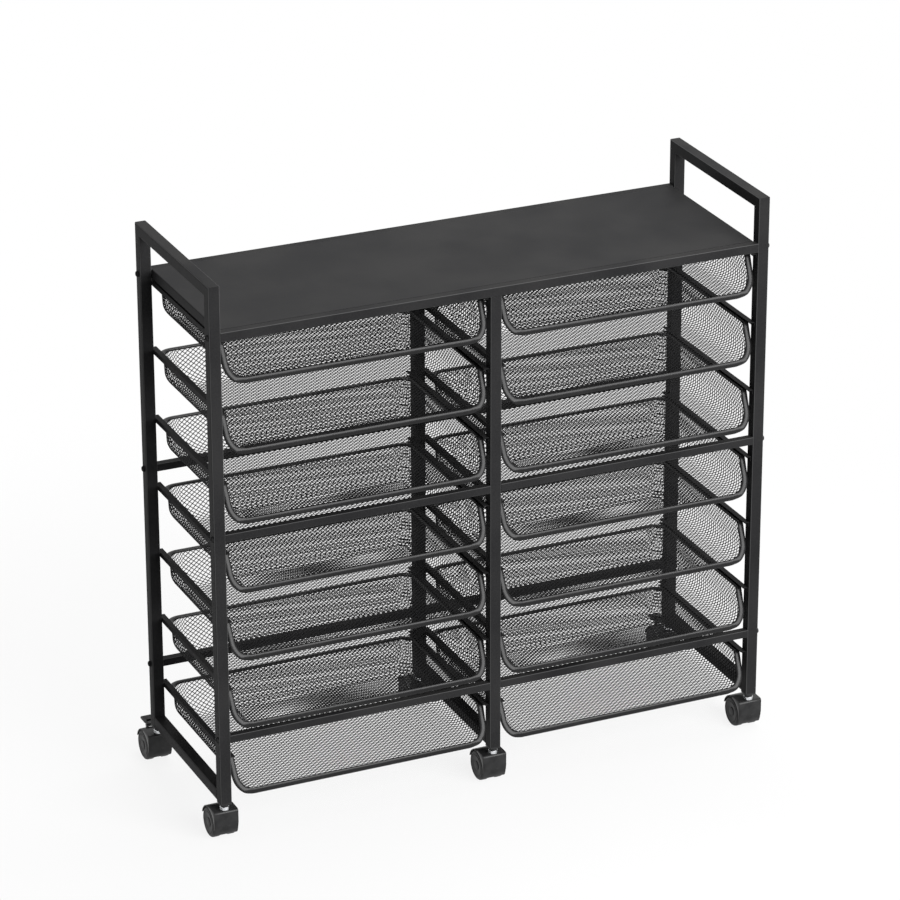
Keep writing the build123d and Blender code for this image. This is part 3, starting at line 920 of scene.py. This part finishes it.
    def rim_mesh(self) -> bpy.types.Mesh:
        """Sweep the domed rim round the tray.

        Returns:
            One mesh that all trays share.
        """
        half = self.rim_path()
        mirrored = [(Vector((-p.x, p.y, p.z)), n) for p, n in reversed(half[1:-1])]
        loop = half + mirrored
        section = self.rim_section()
        rings = []
        for index, (point, normal) in enumerate(loop):
            way = (loop[(index + 1) % len(loop)][0] - loop[index - 1][0]).normalized()
            outward = normal.cross(way).normalized()
            rings.append([point + outward * a + normal * b for a, b in section])
        shape = Shape()
        shape.rings(rings, closed=True)
        return shape.mesh("tray_rim", 50.0)

    def build(self) -> None:
        """Put a net and a rim into each tray."""
        net, rim = self.net_mesh(), self.rim_mesh()
        net_paint, rim_paint = self.mesh_coat.make(), self.rim_coat.make()
        log.info("a tray's net has %d faces, its rim %d", len(net.polygons), len(rim.polygons))
        for column in self.columns:
            for row in range(1, self.rows + 1):
                name = f"drawer_{column}_{row}"
                low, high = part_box(f"{name}_rim")
                spot = Vector(((low.x + high.x) / 2, 0, high.z))
                show(f"{name}_net", net, net_paint, name, [f"{name}_basket"], spot)
                show(f"{name}_rolled_rim", rim, rim_paint, name, [f"{name}_rim"], spot)


@dataclass
class Casters:
    """Twin-wheel swivel casters: hood, wheels, stem and, on two of them, a brake pedal."""

    wheel_radius: float = 25.0 * MM
    wheel_inner: float = 6.8 * MM
    wheel_outer: float = 20.5 * MM
    trail: float = 21.0 * MM
    axle_radius: float = 3.0 * MM
    cover_inner: float = 25.9 * MM
    cover_outer: float = 27.5 * MM
    cover_edge: float = 1.45 * MM
    cover_thinning: float = 0.375 * MM
    cover_angles: Pair = (15.0, 212.0)
    web_angles: Pair = (15.0, 186.0)
    web_half: float = 6.0 * MM
    brow_corner: float = 4.0 * MM
    brow_rear: float = -3.0 * MM
    brow_taper: Pair = (6.0 * MM, -2.7 * MM)
    hub_radius: float = 9.0 * MM
    boss_radius: float = 8.0 * MM
    top: float = 54.0 * MM
    pivot_angle: float = 70.0
    pivot_reach: float = 31.5 * MM
    ear_radius: float = 3.8 * MM
    ear_inner: float = 6.4 * MM
    ear_outer: float = 9.4 * MM
    pedal_length: float = 27.2 * MM
    pedal_half: float = 10.0 * MM
    pedal_sheet: float = 3.0 * MM
    knuckle_radius: float = 3.4 * MM
    arm_length: float = 12.0 * MM
    plate_start: float = 4.3 * MM
    rib_width: float = 1.6 * MM
    rib_inset: float = 2.5 * MM
    ribs_mm: tuple[float, ...] = (12.0, 8.4, 4.8)
    pin_radius: float = 1.5 * MM
    neck_mm: tuple[Pair, ...] = ((34.0, 6.6), (50.0, 6.6), (51.5, 7.2), (53.5, 7.2), (54.0, 6.7))
    stem_mm: tuple[Pair, ...] = ((35.4, 3.4), (36.0, 4.0), (54.3, 4.0), (54.3, 6.9), (54.9, 7.5), (56.2, 7.5),
                                 (56.5, 7.1), (57.0, 7.1), (57.3, 7.5), (59.3, 7.5), (59.95, 6.9), (59.95, 5.0),
                                 (85.0, 5.0), (86.0, 4.2))
    steps: int = 64
    braked: tuple[str, ...] = ("rear_left", "rear_right")
    hood_nylon: MouldedNylon = MouldedNylon("hood_nylon", gloss=0.34, scuff=0.10)
    wheel_nylon: MouldedNylon = MouldedNylon("wheel_nylon", gloss=0.5, scuff=0.45)
    pedal_nylon: MouldedNylon = MouldedNylon("pedal_nylon", gloss=0.42, scuff=0.15)
    stem_zinc: ZincPlate = ZincPlate("stem_zinc_plate")

    def across(self, a: float, b: float, x: float) -> Point:
        """Turn a place round the axle into a point, with the stem's axis at the origin."""
        return x, self.trail + a, self.wheel_radius + b

    def lying(self, a: float, b: float, up: float) -> Point:
        """Turn a place on the pedal's plate into a point: across, along and up from the axle."""
        return self.across(b, up, a)

    def pivot(self) -> Pair:
        """The pedal's pivot, from the axle."""
        turn = math.radians(self.pivot_angle)
        return self.pivot_reach * math.cos(turn), self.pivot_reach * math.sin(turn)

    def wheel_profile(self) -> list[Pair]:
        """Reach from the middle and radius along one wheel, from its inner face to its hub cap."""
        inner, outer, tyre = self.wheel_inner, self.wheel_outer, self.wheel_radius
        bead = [(inner, 4.0 * MM), (inner, tyre - 1.6 * MM), (inner + 0.5 * MM, tyre - 0.5 * MM),
                (inner + 1.6 * MM, tyre)]
        tread = [(outer - 4.4 * MM, tyre), (outer - 2.9 * MM, tyre - 0.35 * MM),
                 (outer - 1.5 * MM, tyre - 1.3 * MM), (outer - 0.5 * MM, tyre - 2.9 * MM),
                 (outer - 0.15 * MM, tyre - 4.6 * MM)]
        side = [(outer - 0.25 * MM, 19.4 * MM), (outer - 0.9 * MM, 18.9 * MM), (outer - 0.9 * MM, 18.0 * MM),
                (outer - 0.2 * MM, 17.4 * MM), (outer - 0.5 * MM, 12.0 * MM), (outer - 1.2 * MM, 8.8 * MM),
                (outer - 1.2 * MM, 7.8 * MM), (outer - 0.3 * MM, 7.2 * MM), (outer, 5.5 * MM),
                (outer, 0.4 * MM)]
        return bead + tread + side

    def wheels_mesh(self) -> bpy.types.Mesh:
        """Turn both wheels and their axle."""
        shape = Shape()
        for sign in (-1, 1):
            shape.lathe(self.wheel_profile(), lambda reach, a, b, sign=sign: self.across(a, b, sign * reach),
                        self.steps)
        shape.lathe([(-self.wheel_inner, self.axle_radius), (self.wheel_inner, self.axle_radius)],
                    lambda reach, a, b: self.across(a, b, reach), 32)
        return shape.mesh("caster_wheels", 34.0)

    def hood_mesh(self, ears: bool) -> bpy.types.Mesh:
        """Mould a hood.

        Args:
            ears: Whether it carries a pedal.

        Returns:
            The cover, the web between the wheels, the square brow, the stem's neck and the ears as one mesh.
        """
        shape = Shape()
        self.add_cover(shape)
        web = [(0.0, 0.0), *Outline.arc((0, 0), self.cover_outer - 0.4 * MM, *self.web_angles, 40)]
        shape.prism(web, self.across, -self.web_half, self.web_half, 0.6 * MM)
        shape.lathe(self.barrel(self.hub_radius, 0.6 * MM), lambda reach, a, b: self.across(a, b, reach), 40)
        front, high, corner = -self.trail - self.boss_radius, self.top - self.wheel_radius, self.brow_corner
        brow = [(self.brow_rear, high), *Outline.arc((front + corner, high - corner), corner, 90, 180, 6),
                (front, self.brow_taper[0]), (-self.cover_outer, self.brow_taper[1]),
                *Outline.arc((0, 0), self.cover_inner, self.web_angles[1], 96.0, 24)]
        shape.prism(brow, self.across, -self.wheel_outer, self.wheel_outer, 0.8 * MM)
        neck = [(reach * MM, radius * MM) for reach, radius in self.neck_mm]
        shape.lathe(neck, lambda reach, a, b: (a, b, reach), 40)
        if ears:
            self.add_ears(shape)
        return shape.mesh("braked_hood" if ears else "plain_hood", 38.0)

    def barrel(self, radius: float, edge: float) -> list[Pair]:
        """Profile of a barrel as wide as the web, with eased ends."""
        half = self.web_half
        return [(-half, radius - edge), (-half + edge, radius), (half - edge, radius), (half, radius - edge)]

    def add_cover(self, shape: Shape) -> None:
        """Add the round cover over both wheels, thinner at its two ends."""
        first, last = self.cover_angles
        edge, count, side = self.cover_edge, 44, self.wheel_outer
        inside, middle = side - 0.2 * MM, self.cover_outer - edge
        outside = Outline.arc((side - edge, middle), edge, 0, 90, 5)
        outside += Outline.arc((-side + edge, middle), edge, 90, 180, 5)
        rings: list[list[Point]] = []
        for k in range(count + 1):
            turn = math.radians(first + (last - first) * k / count)
            thin = self.cover_thinning if k in (0, count) else 0.0
            section = [(-inside, self.cover_inner + thin), (inside, self.cover_inner + thin)]
            section += [(a, b - thin) for a, b in outside]
            rings.append([self.across(r * math.cos(turn), r * math.sin(turn), x) for x, r in section])
        shape.rings(rings)

    def add_ears(self, shape: Shape) -> None:
        """Add the two ears that the pedal turns in."""
        turn = math.radians(self.pivot_angle)
        pivot = self.pivot()
        root = self.cover_outer - 0.8 * MM
        side = (-math.sin(turn) * self.ear_radius, math.cos(turn) * self.ear_radius)
        foot = (root * math.cos(turn), root * math.sin(turn))
        cap = Outline.arc(pivot, self.ear_radius, self.pivot_angle - 90, self.pivot_angle + 90, 14)
        outline = [*cap, (foot[0] + side[0], foot[1] + side[1]), (foot[0] - side[0], foot[1] - side[1])]
        for low, high in ((self.ear_inner, self.ear_outer), (-self.ear_outer, -self.ear_inner)):
            shape.prism(outline, self.across, low, high, 0.4 * MM)

    def pedal_mesh(self) -> bpy.types.Mesh:
        """Mould a brake pedal: knuckle, pins, a tapered lever and grip ribs."""
        shape = Shape()
        pivot = self.pivot()
        top = pivot[1] + self.knuckle_radius
        low = top - self.pedal_sheet

        end = pivot[0] + self.pedal_length
        barrel = self.barrel(self.knuckle_radius, 0.4 * MM)
        shape.lathe(barrel, lambda reach, a, b: self.across(pivot[0] + a, pivot[1] + b, reach), 32)
        pins = [(-self.ear_outer, self.pin_radius), (self.ear_outer, self.pin_radius)]
        shape.lathe(pins, lambda reach, a, b: self.across(pivot[0] + a, pivot[1] + b, reach), 24)
        half, stop = self.web_half, pivot[0] + self.arm_length
        arm = Outline.rounded_box(-half, pivot[0], half, stop, 0.6 * MM, 2)
        shape.prism(arm, self.lying, low, top, 0.4 * MM)
        start = pivot[0] + self.plate_start
        plate = Outline.rounded_box(-self.pedal_half, start, self.pedal_half, end, 3.0 * MM, 6)
        shape.prism(plate, self.lying, low, top, 0.8 * MM)
        half = self.pedal_half - self.rib_inset
        for back in self.ribs_mm:
            start = end - back * MM
            rib = Outline.rounded_box(-half, start, half, start + self.rib_width, 0.7 * MM, 3)
            shape.prism(rib, self.lying, top - 0.4 * MM, top + 0.5 * MM, 0.35 * MM)
        return shape.mesh("brake_pedal", 38.0)

    def stems_mesh(self, feet: Sequence[Pair]) -> bpy.types.Mesh:
        """Turn the zinc stems.

        Args:
            feet: Plan places of the stems.

        Returns:
            All stems as one mesh.
        """
        shape = Shape()
        profile = [(height * MM, radius * MM) for height, radius in self.stem_mm]
        for x, y in feet:
            shape.lathe(profile, lambda reach, a, b, x=x, y=y: (x + a, y + b, reach), 48)
        return shape.mesh("caster_stem_set", 34.0)

    def build(self) -> None:
        """Put a caster under every post."""
        wheels, pedal = self.wheels_mesh(), self.pedal_mesh()
        plain, with_ears = self.hood_mesh(False), self.hood_mesh(True)
        hood_paint, wheel_paint = self.hood_nylon.make(), self.wheel_nylon.make()
        pedal_paint = self.pedal_nylon.make()
        feet: list[Pair] = []
        for column in ("left", "middle", "right"):
            for end in ("front", "rear"):
                corner = f"{end}_{column}"
                low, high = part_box(f"{column}_{end}_post")
                spot = Vector(((low.x + high.x) / 2, (low.y + high.y) / 2, 0))
                feet.append((spot.x, spot.y))
                hood = with_ears if corner in self.braked else plain
                show(f"{corner}_hood_moulding", hood, hood_paint, f"{corner}_caster",
                     [f"{corner}_caster_hood"], spot)
                show(f"{corner}_twin_wheels", wheels, wheel_paint, f"{corner}_wheels",
                     [f"{corner}_caster_wheels"], spot)
                if corner in self.braked:
                    show(f"{corner}_pedal_moulding", pedal, pedal_paint, f"{corner}_brake",
                         [f"{corner}_brake_pedal"], spot)
        stems = self.stems_mesh(feet)
        show("caster_stem_set", stems, self.stem_zinc.make(), "frame", ["caster_stems"])


@dataclass(frozen=True)
class SoftBox:
    """A soft lamp: its name, place, width and height in metres, and power in watts."""

    name: str
    spot: Point
    size: Pair
    power: float


@dataclass
class Studio:
    """Camera, soft lamps, pale floor and white surround."""

    lens: float = 174.49
    camera_spot: Point = (-2.64288, -5.85629, 3.29458)
    camera_turn: Point = (66.64004, 0.10969, -24.34714)
    floor_size: float = 60.0
    floor_colour: Colour = (0.85, 0.85, 0.85)
    floor_share: float = 0.14
    floor_edge: Pair = (0.6, 1.6)
    ambient: float = 0.28
    aim: Point = (0.0, -0.02, 0.45)
    lamps: tuple[SoftBox, ...] = (SoftBox("key_box", (1.8, -5.0, 2.2), (4.4, 4.0), 580.0),
                                  SoftBox("strip_box", (0.5, 0.5, 2.7), (2.4, 0.3), 45.0))

    def camera(self) -> None:
        """Place the camera that the photograph was taken with."""
        data = bpy.data.cameras.new("photo_camera")
        data.lens, data.sensor_width, data.sensor_fit = self.lens, 36.0, "HORIZONTAL"
        data.clip_start, data.clip_end = 0.1, 200.0
        camera = bpy.data.objects.new("photo_camera", data)
        camera.location = self.camera_spot
        camera.rotation_euler = [math.radians(turn) for turn in self.camera_turn]
        bpy.context.scene.collection.objects.link(camera)
        bpy.context.scene.camera = camera

    def hang(self, box: SoftBox) -> None:
        """Hang one soft box so that it faces the cart."""
        data = bpy.data.lights.new(box.name, "AREA")
        data.shape, data.energy = "RECTANGLE", box.power
        data.size, data.size_y = box.size
        lamp = bpy.data.objects.new(box.name, data)
        lamp.location = box.spot
        lamp.rotation_euler = (Vector(self.aim) - Vector(box.spot)).to_track_quat("-Z", "Y").to_euler()
        bpy.context.scene.collection.objects.link(lamp)

    def floor(self) -> None:
        """Lay the pale floor, which takes the shadow and fades out round the cart."""
        half = self.floor_size / 2
        corners = [(-half, -half, 0), (half, -half, 0), (half, half, 0), (-half, half, 0)]
        mesh = bpy.data.meshes.new("studio_floor")
        mesh.from_pydata(corners, [], [(0, 1, 2, 3)])
        recipe, material = Recipe.material("studio_floor")
        reach = recipe.node("ShaderNodeVectorMath", {"operation": "LENGTH"}, {0: recipe.place()})["Value"]
        sockets = {"Base Color": (*self.floor_colour, 1.0), "Roughness": 0.9, "Specular IOR Level": 0.0}
        recipe.surface({**sockets, "Alpha": (1.0 - reach.step(*self.floor_edge)) * self.floor_share})
        mesh.materials.append(material)
        floor = bpy.data.objects.new("studio_floor", mesh)
        bpy.context.scene.collection.objects.link(floor)

    def surround(self) -> None:
        """Make the world white to the eye, in gloss and through glass, and softer as a light."""
        world = bpy.data.worlds.new("studio_world")
        world.use_nodes = True
        bpy.context.scene.world = world
        recipe = Recipe(world.node_tree)
        rays = recipe.node("ShaderNodeLightPath")
        seen = rays["Is Camera Ray"] + rays["Is Glossy Ray"] + rays["Is Transmission Ray"]
        shown = seen.step(0.0, 1.0)
        strength = shown * (1.0 - self.ambient) + self.ambient
        white = recipe.node("ShaderNodeBackground", {}, {"Color": (1.0, 1.0, 1.0, 1.0), "Strength": strength})
        recipe.node("ShaderNodeOutputWorld", {}, {"Surface": white["Background"]})

    def build(self) -> None:
        """Set the studio up."""
        bpy.context.scene.view_settings.view_transform = "Standard"
        self.camera()
        self.floor()
        self.surround()
        for box in self.lamps:
            self.hang(box)


def main() -> None:
    """Dress the frame, build the trays and the casters, and light the studio."""
    logging.basicConfig(level=logging.INFO, format="%(name)s: %(message)s")
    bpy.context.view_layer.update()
    for assembly in (Studio(), TubeFrame(), FrameBolts(), MeshTray(), Casters()):
        assembly.build()


if __name__ == "__main__":
    main()
